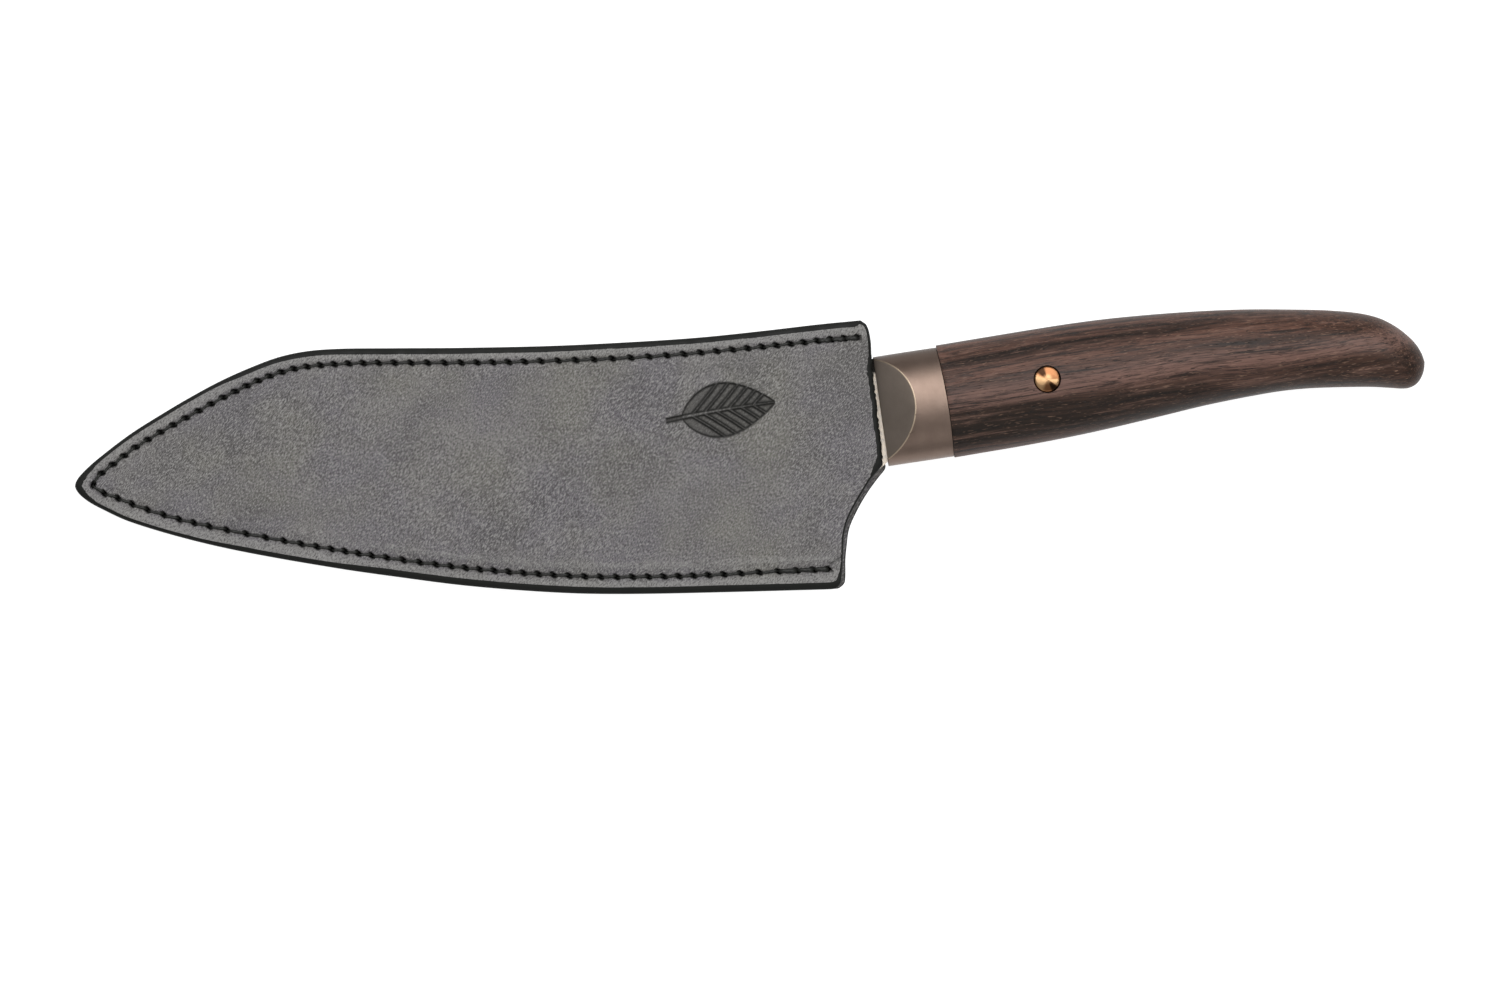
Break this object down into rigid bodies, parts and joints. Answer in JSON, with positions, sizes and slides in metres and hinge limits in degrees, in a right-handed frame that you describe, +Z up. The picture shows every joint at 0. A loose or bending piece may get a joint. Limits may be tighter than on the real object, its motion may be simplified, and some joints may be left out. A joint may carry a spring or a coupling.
{
  "type": "sheathed chef's knife",
  "caption": "Chef's knife with an oval bronze collar and a hooked dark wood handle, drawn out of a flat saddle-stitched black leather sheath.",
  "frame": {"origin": "centre of the footprint, on the table the object lies on", "axes": "+X from the sheath's tip to the butt of the handle, +Y to the side of the blade's back, +Z up out of the sheath's front panel; the whole lies pitched by 1.55 degrees because the handle is thicker than the sheath"},
  "size_m": [0.3314, 0.0656, 0.0209],
  "materials": {
    "blade": "satin ground steel",
    "bolster": "satin brown bronze",
    "handle": "oiled dark rosewood",
    "handle_pin": "turned copper",
    "tang_epoxy": "cured resin",
    "sheath_leather": "waxed grey-black leather, edges burnished black",
    "seam_thread": "waxed black thread"
  },
  "bodies": {
    "sheath": {"sheath_front_panel": "sheath_leather", "sheath_back_panel": "sheath_leather", "spine_welt": "sheath_leather", "edge_welt": "sheath_leather", "seam_thread": "seam_thread"},
    "knife": {"blade": "blade", "bolster": "bolster", "handle": "handle", "handle_pin": "handle_pin", "tang_epoxy": "tang_epoxy"}
  },
  "joints": [
    {"name": "knife_draw", "type": "slide", "parent": "sheath", "child": "knife", "axis": [0.9996, 0, 0.0271], "range_m": [0, 0.21]}
  ]
}
